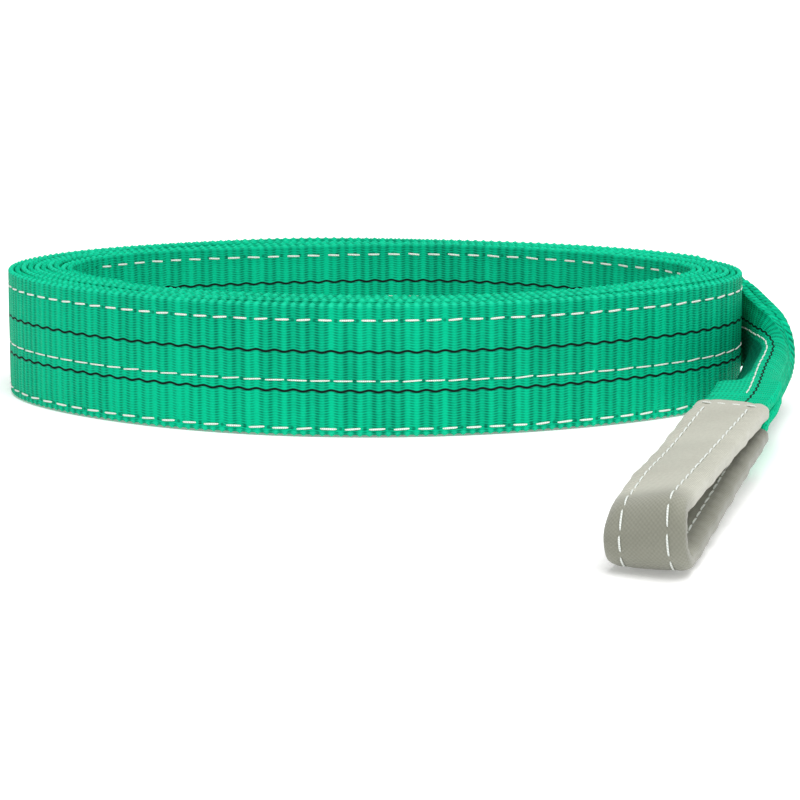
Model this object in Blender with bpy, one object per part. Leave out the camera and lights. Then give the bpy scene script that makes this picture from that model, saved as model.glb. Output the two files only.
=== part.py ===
"""Flat web sling, coiled on edge, with a sleeved lifting eye at each end.

All sizes are in millimetres up here and are turned into metres when a mesh is made.
The coil stands on its edge on the floor, +Z is up, and the outer eye reaches towards -Y.
"""
import math

import bmesh
import bpy
import numpy as np

for old in list(bpy.data.objects):
    bpy.data.objects.remove(old, do_unlink=True)

# ---- webbing ----
WEB_W = 60.0            # width of the webbing
PLY_T = 2.8             # thickness of one ply
PLY_GAP = 0.3           # room between the two plies
TURN_GAP = 0.3          # room between two turns
SLING_T = 2.0 * PLY_T + PLY_GAP
PITCH = SLING_T + TURN_GAP
FOLD_W = 28.6           # width of the webbing where its edges are folded in
FOLD_T = 2.0 * PLY_T    # thickness of one folded ply

# ---- coil, an oval with a flatter front ----
OVAL_A = 174.5
OVAL_B = 106.0
OVAL_X2 = 4.2
OVAL_Y2 = -12.5
OVAL_X3 = -6.1
OVAL_Y3 = -5.7
OVAL_SKEW = 22.1
OVAL_LEAN = -4.0
OVAL_X0 = -14.3
STATIONS = 40           # stations on each turn
COIL_START = 40.0       # degrees round the oval where the tail leaves
COIL_END = 1645.0       # degrees where the inner neck starts
FRONT = 270.0           # degrees at the middle of the front

# ---- seams ----
SEAM_Z = (52.3, 25.2, 3.6)
THREAD_W = 1.0
THREAD_H = 0.5
THREAD_OFF = 0.2
TWIST_ROOM = 0.4        # more room under the threads where the tail twists

# ---- sleeves ----
SLEEVE_WALL = 1.0
SLEEVE_ROOM = 0.35
SLEEVE_EDGE = 6.6       # distance of each long row from the sleeve's edge

# ---- outer eye ----
CROTCH = (140.6, -167.4, 24.3)
EYE_AIM = 196.0         # degrees, heading of the eye seen from above (-Y is 180)
EYE_L = 203.0           # crotch to the nose
EYE_H = 31.0            # height of the loop over the sleeve
EYE_ROLL = 90.0         # degrees of twist of the webbing at the crotch
EYE_LIFT = 0.75         # the rows of thread under the sleeve touch the floor

# ---- inner eye ----
INNER_L = 185.0
INNER_BULGE = 30.0
INNER_GAP = 1.6         # room between the inner sleeve and the coil, for its thread

# ---- label ----
LABEL_L = 46.0
LABEL_H = 34.0
LABEL_T = 0.8


def material(name, colour, rough):
    """One plain material for each sub-part."""
    mat = bpy.data.materials.new(name)
    mat.use_nodes = True
    shader = mat.node_tree.nodes["Principled BSDF"]
    shader.inputs["Base Color"].default_value = (*colour, 1.0)
    shader.inputs["Roughness"].default_value = rough
    mat.diffuse_color = (*colour, 1.0)
    return mat


GREEN = (0.0, 0.42, 0.25)
GREY = (0.36, 0.36, 0.29)
WHITE = (0.85, 0.87, 0.82)
BLUE = (0.05, 0.15, 0.5)

PIECES = {}


def solid(name, rings, colour, origin=(0.0, 0.0, 0.0), closed=False):
    """Join rings of points into one closed body. rings is (stations, points, 3) in mm."""
    rings = np.asarray(rings, float)
    count, around = rings.shape[:2]
    verts = rings.reshape(-1, 3)
    faces = []
    spans = count if closed else count - 1
    for i in range(spans):
        a = i * around
        b = ((i + 1) % count) * around
        for j in range(around):
            k = (j + 1) % around
            faces.append((a + j, a + k, b + k, b + j))
    if not closed:
        faces.append(tuple(range(around - 1, -1, -1)))
        faces.append(tuple((count - 1) * around + j for j in range(around)))
    PIECES[name] = (verts, faces, colour, np.asarray(origin, float))


def shell(name, outer, inner, colour, origin=(0.0, 0.0, 0.0)):
    """A sleeve: outer and inner rings joined at both ends, open right through."""
    outer = np.asarray(outer, float)
    inner = np.asarray(inner, float)
    count, around = outer.shape[:2]
    verts = np.concatenate([outer.reshape(-1, 3), inner.reshape(-1, 3)])
    base = count * around
    faces = []
    for i in range(count - 1):
        a = i * around
        b = a + around
        for j in range(around):
            k = (j + 1) % around
            faces.append((a + j, a + k, b + k, b + j))
            faces.append((base + a + k, base + a + j, base + b + j, base + b + k))
    last = (count - 1) * around
    for j in range(around):
        k = (j + 1) % around
        faces.append((k, j, base + j, base + k))
        faces.append((last + j, last + k, base + last + k, base + last + j))
    PIECES[name] = (verts, faces, colour, np.asarray(origin, float))


def band(path, across, normal, half, low, high, cuts=1):
    """Rectangular rings: half is the half width, low and high are heights along normal."""
    path = np.asarray(path, float)
    half = np.broadcast_to(half, len(path))[:, None]
    low = np.broadcast_to(low, len(path))[:, None]
    high = np.broadcast_to(high, len(path))[:, None]
    spread = np.linspace(-1.0, 1.0, cuts + 1)
    under = [path + across * (half * f) + normal * low for f in spread]
    over = [path + across * (half * f) + normal * high for f in spread[::-1]]
    return np.stack(under + over, axis=1)


def thread(path, across, normal, height):
    """Three-sided rings of one sewing thread that lies on a face at the given height."""
    path = np.asarray(path, float)
    height = np.broadcast_to(height, len(path))[:, None]
    sign = np.where(height < 0.0, -1.0, 1.0)
    foot = height + sign * THREAD_OFF
    top = foot + sign * THREAD_H
    return np.stack([
        path - across * (0.5 * THREAD_W) + normal * foot,
        path + across * (0.5 * THREAD_W) + normal * foot,
        path + normal * top,
    ], axis=1)


def oval(deg, inset):
    """Point and outward normal of the coil's oval at an angle, moved in by inset."""
    p = np.radians(np.asarray(deg, float))
    x = OVAL_A * np.cos(p) + OVAL_X2 * np.cos(2 * p) + OVAL_X3 * np.cos(3 * p)
    x = x + OVAL_SKEW * np.sin(2 * p) + OVAL_X0
    y = OVAL_B * np.sin(p) + OVAL_Y2 * np.cos(2 * p) + OVAL_Y3 * np.sin(3 * p)
    y = y + OVAL_LEAN * np.cos(p)
    dx = -OVAL_A * np.sin(p) - 2 * OVAL_X2 * np.sin(2 * p) - 3 * OVAL_X3 * np.sin(3 * p)
    dx = dx + 2 * OVAL_SKEW * np.cos(2 * p)
    dy = OVAL_B * np.cos(p) - 2 * OVAL_Y2 * np.sin(2 * p) + 3 * OVAL_Y3 * np.cos(3 * p)
    dy = dy - OVAL_LEAN * np.sin(p)
    run = np.hypot(dx, dy)
    nx = dy / run
    ny = -dx / run
    return np.stack([x - inset * nx, y - inset * ny], -1), np.stack([nx, ny], -1)


def inset_at(deg):
    """How far in the sling's outer face lies: one pitch for each turn."""
    return PITCH * (np.asarray(deg, float) - FRONT) / 360.0


def upright(deg, inset, height):
    """Path at a height on the coil, with its across (up) and normal (outward) vectors."""
    flat, out = oval(deg, inset)
    path = np.column_stack([flat, np.full(len(flat), height)])
    normal = np.column_stack([out, np.zeros(len(out))])
    across = np.tile([0.0, 0.0, 1.0], (len(flat), 1))
    return path, across, normal


def stations(first, last):
    """Angles on the shared grid between two angles, with both ends included."""
    step = 360.0 / STATIONS
    grid = np.arange(math.ceil(first / step), math.floor(last / step) + 1) * step
    grid = grid[(grid > first + 0.3 * step) & (grid < last - 0.3 * step)]
    return np.concatenate([[first], grid, [last]])


def on_grid(first, last):
    """Only the shared grid angles between two angles, so threads follow the ply's facets."""
    step = 360.0 / STATIONS
    return np.arange(math.ceil(first / step), math.floor(last / step) + 1) * step


def spline(points, count):
    """Smooth curve through points, evenly spaced, by repeated Catmull-Rom spans."""
    pts = np.asarray(points, float)
    head = 2 * pts[0] - pts[1]
    tail = 2 * pts[-1] - pts[-2]
    ext = np.vstack([head, pts, tail])
    fine = []
    for i in range(1, len(ext) - 2):
        t = np.linspace(0.0, 1.0, 24, endpoint=False)[:, None]
        a = 2 * ext[i]
        b = ext[i + 1] - ext[i - 1]
        c = 2 * ext[i - 1] - 5 * ext[i] + 4 * ext[i + 1] - ext[i + 2]
        d = -ext[i - 1] + 3 * ext[i] - 3 * ext[i + 1] + ext[i + 2]
        fine.append(0.5 * (a + b * t + c * t ** 2 + d * t ** 3))
    fine = np.vstack(fine + [pts[-1:]])
    run = np.concatenate([[0.0], np.cumsum(np.linalg.norm(np.diff(fine, axis=0), axis=1))])
    want = np.linspace(0.0, run[-1], count)
    return np.stack([np.interp(want, run, fine[:, k]) for k in range(3)], axis=1)


def unit(v):
    """Vectors of length one."""
    return v / np.linalg.norm(v, axis=-1, keepdims=True)


def ease(t):
    """Smooth step from 0 to 1."""
    t = np.clip(t, 0.0, 1.0)
    return t * t * (3.0 - 2.0 * t)


def part_way(t):
    """Rise from 0 that starts at an angle, as two legs part at the crotch, and ends flat."""
    return np.sin(0.5 * math.pi * np.clip(t, 0.0, 1.0))


def coil():
    """Both plies of the turns that stand on edge, and the seams on the open faces."""
    deg = stations(COIL_START, COIL_END)
    inset = inset_at(deg)
    path, up, out = upright(deg, inset, 0.5 * WEB_W)
    half = 0.5 * WEB_W
    solid("outer_ply_coil", band(path, up, out, half, -PLY_T, 0.0), GREEN)
    low = -SLING_T
    solid("inner_ply_coil", band(path, up, out, half, low, low + PLY_T), GREEN)
    for row, z in zip(("top", "middle", "bottom"), SEAM_Z):
        deg = on_grid(COIL_START + 4.0, 352.0)
        path, up, out = upright(deg, inset_at(deg), z)
        solid("coil_outer_seam_" + row, thread(path, up, out, 0.0001), WHITE)
        deg = on_grid(COIL_END - 218.0, COIL_END - 62.0)
        path, up, out = upright(deg, inset_at(deg) + SLING_T, z)
        solid("coil_inner_seam_" + row, thread(path, up, out, -0.0001), WHITE)


def tail_frames():
    """Path of the tail from the coil to the crotch, with its vectors and half width."""
    start, out = oval([COIL_START], inset_at([COIL_START]) + 0.5 * SLING_T)
    before, _ = oval([COIL_START - 14.0], inset_at([COIL_START - 14.0]) + 0.5 * SLING_T)
    lift = 0.5 * WEB_W
    knots = [
        (start[0, 0], start[0, 1], lift),
        (before[0, 0] + 3.6, before[0, 1] + 2.7, lift),
        (170.9, 6.0, 29.8),
        (172.0, -15.0, 28.6),
        (169.5, -40.0, 27.0),
        (163.8, -65.0, 26.0),
        (158.4, -88.0, 25.4),
        (152.3, -118.0, 24.8),
        (146.4, -146.3, 24.5),
        CROTCH,
    ]
    path = spline(knots, 34)
    ahead = unit(np.gradient(path, axis=0))
    y = path[:, 1]
    twist = np.interp(-y, [-20.0, 8.0, 22.0, 36.0, 50.0, 65.0, 110.0, 135.0],
                      [0.0, 12.0, 36.0, 62.0, 80.0, 86.0, 88.0, EYE_ROLL])
    twist = np.convolve(np.pad(twist, 1, mode="edge"), [0.25, 0.5, 0.25], mode="valid")
    half = np.interp(-y, [-60.0, -45.0, -30.0, -15.0, 0.0, 15.0, 30.0],
                     [30.0, 26.0, 20.5, 17.3, 15.6, 14.6, 0.5 * FOLD_W])
    half = np.convolve(np.pad(half, 1, mode="edge"), [0.25, 0.5, 0.25], mode="valid")
    level = np.array([0.0, 0.0, 1.0])
    outward = unit(np.cross(ahead, level) * -1.0)
    rise = unit(np.cross(outward, ahead))
    rise = rise * np.sign(rise[:, 2:3])
    ang = np.radians(twist)[:, None]
    across = rise * np.cos(ang) + outward * np.sin(ang)
    normal = outward * np.cos(ang) - rise * np.sin(ang)
    return path, ahead, across, normal, half


def tail():
    """The stretch that comes off the coil, twists over and folds in to the crotch."""
    path, ahead, across, normal, half = tail_frames()
    path = path.copy()
    path[0] = path[0] + ahead[0] * 0.35
    thick = PLY_T * (0.5 * WEB_W) / half
    thick = np.minimum(thick, FOLD_T)
    mid = 0.5 * PLY_GAP
    solid("outer_ply_tail", band(path, across, normal, half, mid, mid + thick, 4), GREEN)
    solid("inner_ply_tail", band(path, across, normal, half, -mid - thick, -mid, 4), GREEN)
    rows = np.array(SEAM_Z) - 0.5 * WEB_W
    squeeze = half / (0.5 * WEB_W)
    for row, off in zip(("top", "middle", "bottom"), rows):
        run = slice(6, 31) if row == "middle" else slice(6, 20)
        side = path + across * (off * squeeze)[:, None]
        if row == "middle":
            side = path + across * (off * squeeze ** 2)[:, None]
        p, a, n = side[run], across[run], normal[run]
        face = (mid + thick)[run] + TWIST_ROOM
        solid("tail_outer_seam_" + row, thread(p, a, n, face), WHITE)
        keep = 0 if row == "middle" else 5
        p, a, n, face = p[keep:], a[keep:], n[keep:], face[keep:]
        solid("tail_inner_seam_" + row, thread(p, a, n, -face), WHITE)


def loop_profile(length, height, leg):
    """Side view of an eye's middle line: out along one leg, round the nose and back.

    Gives distance from the crotch, height over the lower face, for the middle of the leg.
    """
    r = 0.5 * (height - leg)
    bend = np.radians(np.linspace(90.0, -90.0, 14))
    nose_s = length - 0.5 * leg - r + r * np.cos(bend)
    nose_h = 0.5 * height + r * np.sin(bend)
    run = np.linspace(0.0, 1.0, 13)[:-1]
    return nose_s, nose_h, run


def outer_eye_path():
    """Middle line of the outer eye's loop in metres-free millimetre coordinates."""
    leg = FOLD_T + 2.0 * (SLEEVE_WALL + SLEEVE_ROOM)
    nose_s, nose_h, run = loop_profile(EYE_L, EYE_H, leg)
    nose_h = nose_h + EYE_LIFT
    top_in = CROTCH[2] + 0.5 * (FOLD_T + PLY_GAP)
    low_in = CROTCH[2] - 0.5 * (FOLD_T + PLY_GAP)
    s_top = run * nose_s[0]
    h_top = top_in + (nose_h[0] - top_in) * ease(run)
    s_low = (run * nose_s[-1])[::-1]
    drop = 0.26 * part_way(run * 9.0) + 0.44 * run ** 1.3 + 0.3 * ease(run)
    h_low = low_in + (nose_h[-1] - low_in) * drop
    h_low = h_low[::-1]
    s = np.concatenate([s_top, nose_s, s_low])
    h = np.concatenate([h_top, nose_h, h_low])
    heading = math.radians(EYE_AIM)
    aim = np.array([math.sin(heading), math.cos(heading), 0.0])
    wide = np.array([-aim[1], aim[0], 0.0])
    base = np.array([CROTCH[0], CROTCH[1], 0.0])
    path = base + aim * s[:, None] + np.array([0.0, 0.0, 1.0]) * h[:, None]
    return path, aim, wide


def loop_vectors(path, wide):
    """Normal that points out of the loop and the direction across the webbing."""
    ahead = unit(np.gradient(path, axis=0))
    normal = unit(np.cross(ahead, np.broadcast_to(wide, ahead.shape)))
    return ahead, normal


def make_eye(tag, path, across, normal, hinge, first, last):
    """Webbing loop, sleeve, its two long rows on both faces and the row at each end."""
    half = 0.5 * FOLD_W
    t = 0.5 * FOLD_T
    solid(tag + "_eye_web", band(path, across, normal, half, -t, t), GREEN, hinge)
    run = slice(first, len(path) - last)
    p, a, n = path[run], across[run], normal[run]
    hw = half + SLEEVE_ROOM
    ht = t + SLEEVE_ROOM
    inner = band(p, a, n, hw, -ht, ht)
    ow = hw + SLEEVE_WALL
    ot = ht + SLEEVE_WALL
    outer = band(p, a, n, ow, -ot, ot)
    shell(tag + "_eye_sleeve", outer, inner, GREY, hinge)
    edge = ow - SLEEVE_EDGE
    part = slice(1, -1)
    for side, off in (("left", -edge), ("right", edge)):
        q = p + a * off
        for face, height in (("outside", ot), ("inside", -ot)):
            name = tag + "_sleeve_row_" + face + "_" + side
            solid(name, thread(q[part], a[part], n[part], height), WHITE, hinge)
    for end, i, j in (("upper", 0, 1), ("lower", -1, -2)):
        mix = p[i] + (p[j] - p[i]) * 0.35
        ahead = unit(p[j] - p[i])
        wide = np.linspace(-(ow - 2.0), ow - 2.0, 5)[:, None]
        q = mix + a[i] * wide
        rep = np.repeat(n[i:i + 1] if i >= 0 else n[i:][:1], 5, axis=0)
        flat = np.repeat(ahead[None], 5, axis=0)
        solid(tag + "_sleeve_end_row_" + end, thread(q, flat, rep, ot), WHITE, hinge)


def outer_eye():
    """The eye that lies on the floor in front of the coil."""
    path, aim, wide = outer_eye_path()
    ahead, normal = loop_vectors(path, wide)
    roll = np.radians((EYE_ROLL - 90.0)) * (1.0 - ease((path - path[0]) @ aim / 120.0))
    across = wide * np.cos(roll)[:, None] - np.array([0.0, 0.0, 1.0]) * np.sin(roll)[:, None]
    across = unit(across - ahead * np.sum(across * ahead, axis=1, keepdims=True))
    normal = unit(np.cross(ahead, across))
    centre = path[0] * 0.5 + path[-1] * 0.5
    hinge = centre + np.array([0.0, 0.0, 0.5 * SLING_T + 5.4])
    path = path.copy()
    path[0] = path[0] + aim * 0.8
    path[-1] = path[-1] + aim * 1.3
    make_eye("outer", path, across, normal, hinge, 1, 1)
    return hinge, aim, wide


def neck():
    """The folded-in stretch at the coil's inner end."""
    deg = np.linspace(COIL_END + 0.6, COIL_END + 32.0, 9)
    t = ease((deg - deg[0]) / (deg[-1] - deg[0]))
    half = 0.5 * WEB_W + (0.5 * FOLD_W - 0.5 * WEB_W) * t
    thick = np.minimum(PLY_T * 0.5 * WEB_W / half, FOLD_T)
    centre_z = half + 1.6 * t
    inset = inset_at(deg)
    path, up, out = upright(deg, inset, 0.0)
    path[:, 2] = centre_z
    solid("outer_ply_neck", band(path, up, out, half, -thick, 0.0), GREEN)
    low = -thick - PLY_GAP
    solid("inner_ply_neck", band(path, up, out, half, low - thick, low), GREEN)


def inner_eye():
    """The eye inside the coil, on edge against the front turns."""
    leg = FOLD_T + 2.0 * (SLEEVE_WALL + SLEEVE_ROOM)
    first = COIL_END + 32.6
    degs = np.linspace(first, first + 130.0, 300)
    flat, _ = oval(degs, inset_at(degs))
    run = np.concatenate([[0.0], np.cumsum(np.hypot(*np.diff(flat, axis=0).T))])
    nose_s, nose_h, step = loop_profile(INNER_L, INNER_BULGE, leg)
    near_in = 0.5 * FOLD_T
    far_in = 1.5 * FOLD_T + PLY_GAP
    lift = 0.5 * leg - near_in + INNER_GAP
    near = near_in + lift * ease(step * 6.0)
    far_top = INNER_BULGE - 0.5 * leg + INNER_GAP
    far = far_in + (far_top - far_in) * part_way(step * 1.3)
    s = np.concatenate([step * nose_s[0], nose_s, (step * nose_s[0])[::-1]])
    nose = (INNER_BULGE - nose_h) + INNER_GAP
    d = np.concatenate([near, nose, far[::-1]])
    ang = np.interp(s, run, degs)
    base, out = oval(ang, inset_at(ang))
    pos = base - out * d[:, None]
    height = 0.5 * FOLD_W + 1.6
    path = np.column_stack([pos, np.full(len(pos), height)])
    up = np.tile([0.0, 0.0, 1.0], (len(path), 1))
    ahead = unit(np.gradient(path, axis=0))
    normal = unit(np.cross(ahead, up))
    hinge = path[-1] + normal[-1] * (0.5 * FOLD_T + 0.5)
    make_eye("inner", path, up, normal, hinge, 2, 2)
    return hinge


def label():
    """Blank sewn-in label that stands inside the coil before the neck, and its seam."""
    flat, out = oval([COIL_END - 8.0], inset_at([COIL_END - 8.0]) + SLING_T)
    degs = np.linspace(COIL_END - 8.0, COIL_END - 60.0, 200)
    line, _ = oval(degs, inset_at(degs) + SLING_T)
    run = np.concatenate([[0.0], np.cumsum(np.hypot(*np.diff(line, axis=0).T))])
    ang = np.interp(np.linspace(0.0, LABEL_L, 9), run, degs)
    base, out = oval(ang, inset_at(ang) + SLING_T)
    gap = 1.0 + 2.2 * ease(np.linspace(0.0, 1.0, 9))
    pos = base - out * gap[:, None]
    z = 3.0 + 0.5 * LABEL_H
    path = np.column_stack([pos, np.full(9, z)])
    up = np.tile([0.0, 0.0, 1.0], (9, 1))
    normal = np.column_stack([out, np.zeros(9)])
    hinge = path[0] - normal[0] * 0.4
    solid("label", band(path, up, normal, 0.5 * LABEL_H, -LABEL_T, 0.0), BLUE, hinge)
    side = path[0] * 0.93 + path[1] * 0.07
    rise = np.linspace(-0.5 * LABEL_H + 2.0, 0.5 * LABEL_H - 2.0, 5)[:, None]
    q = side + up[:5] * rise
    ahead = unit(path[1] - path[0])
    along = np.repeat(ahead[None], 5, axis=0)
    n = np.repeat(normal[:1], 5, axis=0)
    solid("label_seam", thread(q, along, n, np.full(5, -LABEL_T)), WHITE, hinge)
    return hinge


coil()
tail()
neck()
OUTER_HINGE, AIM, WIDE = outer_eye()
INNER_HINGE = inner_eye()
LABEL_HINGE = label()
TAIL_FLAT, TAIL_OUT = oval([COIL_START], inset_at([COIL_START]))
TAIL_HINGE = np.array([TAIL_FLAT[0, 0], TAIL_FLAT[0, 1], 0.5 * WEB_W])

EVERY = np.concatenate([piece[0] for piece in PIECES.values()])
LOW = EVERY.min(axis=0)
HIGH = EVERY.max(axis=0)
SHIFT = np.array([0.5 * (LOW[0] + HIGH[0]), 0.5 * (LOW[1] + HIGH[1]), LOW[2]])


def place(name, verts, faces, colour, origin):
    """Make the object with its origin on its joint axis, in metres."""
    if name.startswith(("outer_ply_tail", "inner_ply_tail", "tail_")):
        origin = TAIL_HINGE
    at = (origin - SHIFT) * 0.001 if np.any(origin) else np.zeros(3)
    points = (verts - SHIFT) * 0.001 - at
    mesh = bpy.data.meshes.new(name)
    mesh.from_pydata([tuple(p) for p in points], [], faces)
    obj = bpy.data.objects.new(name, mesh)
    obj.location = tuple(at)
    bpy.context.scene.collection.objects.link(obj)
    mesh.materials.append(material(name, colour, 0.8))
    work = bmesh.new()
    work.from_mesh(mesh)
    bmesh.ops.triangulate(work, faces=work.faces[:])
    bmesh.ops.recalc_face_normals(work, faces=work.faces[:])
    work.to_mesh(mesh)
    work.free()


for piece_name, (v, f, c, o) in PIECES.items():
    place(piece_name, v, f, c, o)

print("low", np.round(LOW, 3), "high", np.round(HIGH, 3), "shift", np.round(SHIFT, 4))
for tag, spot in (("tail", TAIL_HINGE), ("outer eye", OUTER_HINGE),
                  ("inner eye", INNER_HINGE), ("label", LABEL_HINGE)):
    print(tag, "hinge", np.round((spot - SHIFT) * 0.001, 6))
print("aim", np.round(AIM, 5), "wide", np.round(WIDE, 5))
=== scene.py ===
"""Looks of a coiled flat web sling: woven green webbing, white stitching, grey wear sleeves.

Shapes are worked out in millimetres as whole numpy arrays and turned into metres when a
mesh is made. Each surface is a grid of stations along a path and points round a section.
"""
import math

import bpy
import numpy as np
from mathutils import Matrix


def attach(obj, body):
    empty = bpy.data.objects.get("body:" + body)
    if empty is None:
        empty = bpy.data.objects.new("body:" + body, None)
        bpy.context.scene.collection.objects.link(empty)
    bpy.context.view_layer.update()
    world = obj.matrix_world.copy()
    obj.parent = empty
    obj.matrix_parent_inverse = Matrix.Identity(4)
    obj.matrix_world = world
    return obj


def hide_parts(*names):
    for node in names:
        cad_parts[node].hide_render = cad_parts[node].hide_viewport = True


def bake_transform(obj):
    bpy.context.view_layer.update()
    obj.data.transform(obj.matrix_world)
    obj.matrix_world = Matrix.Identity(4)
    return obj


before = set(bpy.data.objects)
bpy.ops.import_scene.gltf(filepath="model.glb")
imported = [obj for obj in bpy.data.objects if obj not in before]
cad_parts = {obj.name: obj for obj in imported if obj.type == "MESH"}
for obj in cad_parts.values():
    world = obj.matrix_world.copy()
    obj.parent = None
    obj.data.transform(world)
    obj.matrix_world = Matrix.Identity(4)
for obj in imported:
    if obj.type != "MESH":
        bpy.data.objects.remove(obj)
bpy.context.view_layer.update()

bpy.context.scene.view_settings.view_transform = "Standard"

# ---- sizes, in millimetres ----
MM = 0.001
SHIFT = np.array([-1.7186, -119.3708, 0.0])
HALF_W = 30.0
PLY_T = 2.8
PLY_GAP = 0.3
SLING_T = 5.9
PITCH = 6.2
FOLD_W = 28.6
FOLD_T = 5.6
COIL_START = 40.0
COIL_END = 1645.0
FRONT = 270.0
SEAM_Z = (52.3, 25.2, 3.6)
INNER_SEAM_Z = (54.5, 33.0, 5.8)
SLEEVE_WALL = 1.0
SLEEVE_ROOM = 0.35
SLEEVE_EDGE = 6.6
CROTCH = (140.6, -167.4, 24.3)
EYE_AIM = 196.0
EYE_L = 203.0
EYE_H = 31.0
EYE_LIFT = 0.75
# points across a face of the webbing, as shares of its half width; FEW has one on each seam
FEW = (-1.0, -0.97, -0.933, -0.89, -0.8, -0.5, -0.23, -0.17, -0.11, 0.3, 0.72, 0.79, 0.86, 1.0)
MANY = np.linspace(-1.0, 1.0, 29)
INNER_L = 185.0
INNER_BULGE = 30.0
INNER_GAP = 1.6
RIB = 4.15                       # one cross rib of the weave
YARN_Z = (37.9, 20.2)            # the two black marker yarns
INNER_SLIDE = 2.8                # how far the inner ply is set off up the web
BEND_STATIONS = 14               # stations of an eye up to its joint, whose point make_eye works out and does not use
ROW_INSET = 6                    # stations from a sleeve's end to its cross row
TAIL_MIDDLE = slice(24, 208)     # stations of the tail that carry the middle row
TAIL_OUTER = slice(24, 62)       # and those that carry the top row and the bottom row
ON_OUTER_EYE = ("outer_eye", "outer_sleeve", "outer_wear")     # how its pieces' names start
UP = np.array([0.0, 0.0, 1.0])


# ---- camera, floor and light ----
def set_camera():
    """Long lens in front of the coil, a little above it and pitched down by 9.9 degrees."""
    data = bpy.data.cameras.new("front_camera")
    data.lens = 128.9
    data.sensor_width = 36.0
    data.shift_y = -0.0432
    data.clip_start = 0.05
    data.clip_end = 60.0
    camera = bpy.data.objects.new("front_camera", data)
    camera.location = (0.00172, -1.22343, 0.2494)
    camera.rotation_euler = (math.radians(80.1), 0.0, 0.0)
    bpy.context.scene.collection.objects.link(camera)
    bpy.context.scene.camera = camera


def set_light(name, place, aim, size, power):
    """Square softbox at a place, turned towards a point."""
    data = bpy.data.lights.new(name, "AREA")
    data.shape = "SQUARE"
    data.size = size
    data.energy = power
    lamp = bpy.data.objects.new(name, data)
    lamp.location = place
    turn = np.array(aim, float) - np.array(place, float)
    flat = math.hypot(turn[0], turn[1])
    lamp.rotation_euler = (math.atan2(flat, -turn[2]), 0.0, math.atan2(-turn[0], turn[1]))
    bpy.context.scene.collection.objects.link(lamp)


def set_studio():
    """Pale room light, one wide soft lamp overhead and a small key on the right."""
    world = bpy.data.worlds.new("pale_room")
    world.use_nodes = True
    back = world.node_tree.nodes["Background"]
    back.inputs["Color"].default_value = (1.0, 1.0, 1.0, 1.0)
    back.inputs["Strength"].default_value = 0.37
    bpy.context.scene.world = world
    sun = bpy.data.lights.new("overhead_softbox", "SUN")
    sun.energy = 2.8
    sun.angle = math.radians(50.0)
    lamp = bpy.data.objects.new("overhead_softbox", sun)
    lamp.rotation_euler = (math.radians(20.0), math.radians(6.0), 0.0)
    bpy.context.scene.collection.objects.link(lamp)
    set_light("key_light", (0.75, -1.5, 0.9), (0.05, -0.1, 0.02), 0.6, 3.0)


# ---- paths ----
def unit(v):
    """Vectors divided by their own lengths."""
    return v / np.linalg.norm(v, axis=-1, keepdims=True)


def ease(t):
    """Smooth step, three t squared less two t cubed, held to 0 and 1 outside."""
    t = np.clip(t, 0.0, 1.0)
    return t * t * (3.0 - 2.0 * t)


def part_way(t):
    """Sine of a quarter turn times t: leaves 0 at a slope and ends flat at 1."""
    return np.sin(0.5 * math.pi * np.clip(t, 0.0, 1.0))


def hump(x, middle, width):
    """Bell curve, e to the minus square of the distance over the width."""
    return np.exp(-((x - middle) / width) ** 2)


def distances(path):
    """Running length along a path, from its first point."""
    steps = np.linalg.norm(np.diff(path, axis=0), axis=1)
    return np.concatenate([[0.0], np.cumsum(steps)])


def smooth(values, count):
    """Running mean weighted by a raised cosine over an odd count of neighbours."""
    weights = np.hanning(count + 2)[1:-1]
    side = count // 2
    return np.convolve(np.pad(values, side, mode="edge"), weights / weights.sum(), mode="valid")


def resample(path, vectors, step):
    """Path and its vectors at even steps, each coordinate read off the running length."""
    run = distances(path)
    count = max(2, int(round(run[-1] / step)) + 1)
    want = np.linspace(0.0, run[-1], count)
    out = [np.stack([np.interp(want, run, a[:, k]) for k in range(3)], 1)
           for a in [path] + vectors]
    return [out[0]] + [unit(v) for v in out[1:]] + [want]


def spline(points, count):
    """Catmull-Rom curve through the points, then evenly spaced by running length."""
    pts = np.asarray(points, float)
    ext = np.vstack([2 * pts[0] - pts[1], pts, 2 * pts[-1] - pts[-2]])
    t = np.linspace(0.0, 1.0, 24, endpoint=False)[None, :, None]
    p0, p1, p2, p3 = (ext[k:len(ext) - 3 + k, None, :] for k in range(4))
    fine = 0.5 * (2 * p1 + (p2 - p0) * t + (2 * p0 - 5 * p1 + 4 * p2 - p3) * t ** 2
                  + (3 * p1 - p0 - 3 * p2 + p3) * t ** 3)
    fine = np.vstack([fine.reshape(-1, 3), pts[-1:]])
    run = distances(fine)
    want = np.linspace(0.0, run[-1], count)
    return np.stack([np.interp(want, run, fine[:, k]) for k in range(3)], 1)


def oval(deg, inset):
    """Coil's oval: an ellipse with second and third harmonics, moved in along its normal."""
    p = np.radians(np.asarray(deg, float))
    x = 174.5 * np.cos(p) + 4.2 * np.cos(2 * p) - 6.1 * np.cos(3 * p)
    x = x + 22.1 * np.sin(2 * p) - 14.3
    y = 106.0 * np.sin(p) - 12.5 * np.cos(2 * p) - 5.7 * np.sin(3 * p) - 4.0 * np.cos(p)
    dx = -174.5 * np.sin(p) - 8.4 * np.sin(2 * p) + 18.3 * np.sin(3 * p)
    dx = dx + 44.2 * np.cos(2 * p)
    dy = 106.0 * np.cos(p) + 25.0 * np.sin(2 * p) - 17.1 * np.cos(3 * p) + 4.0 * np.sin(p)
    run = np.hypot(dx, dy)
    nx, ny = dy / run, -dx / run
    return np.stack([x - inset * nx, y - inset * ny], -1), np.stack([nx, ny], -1)


def inset_at(deg):
    """How far in the sling's outer face lies: one pitch for each turn."""
    return PITCH * (np.asarray(deg, float) - FRONT) / 360.0


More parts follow.
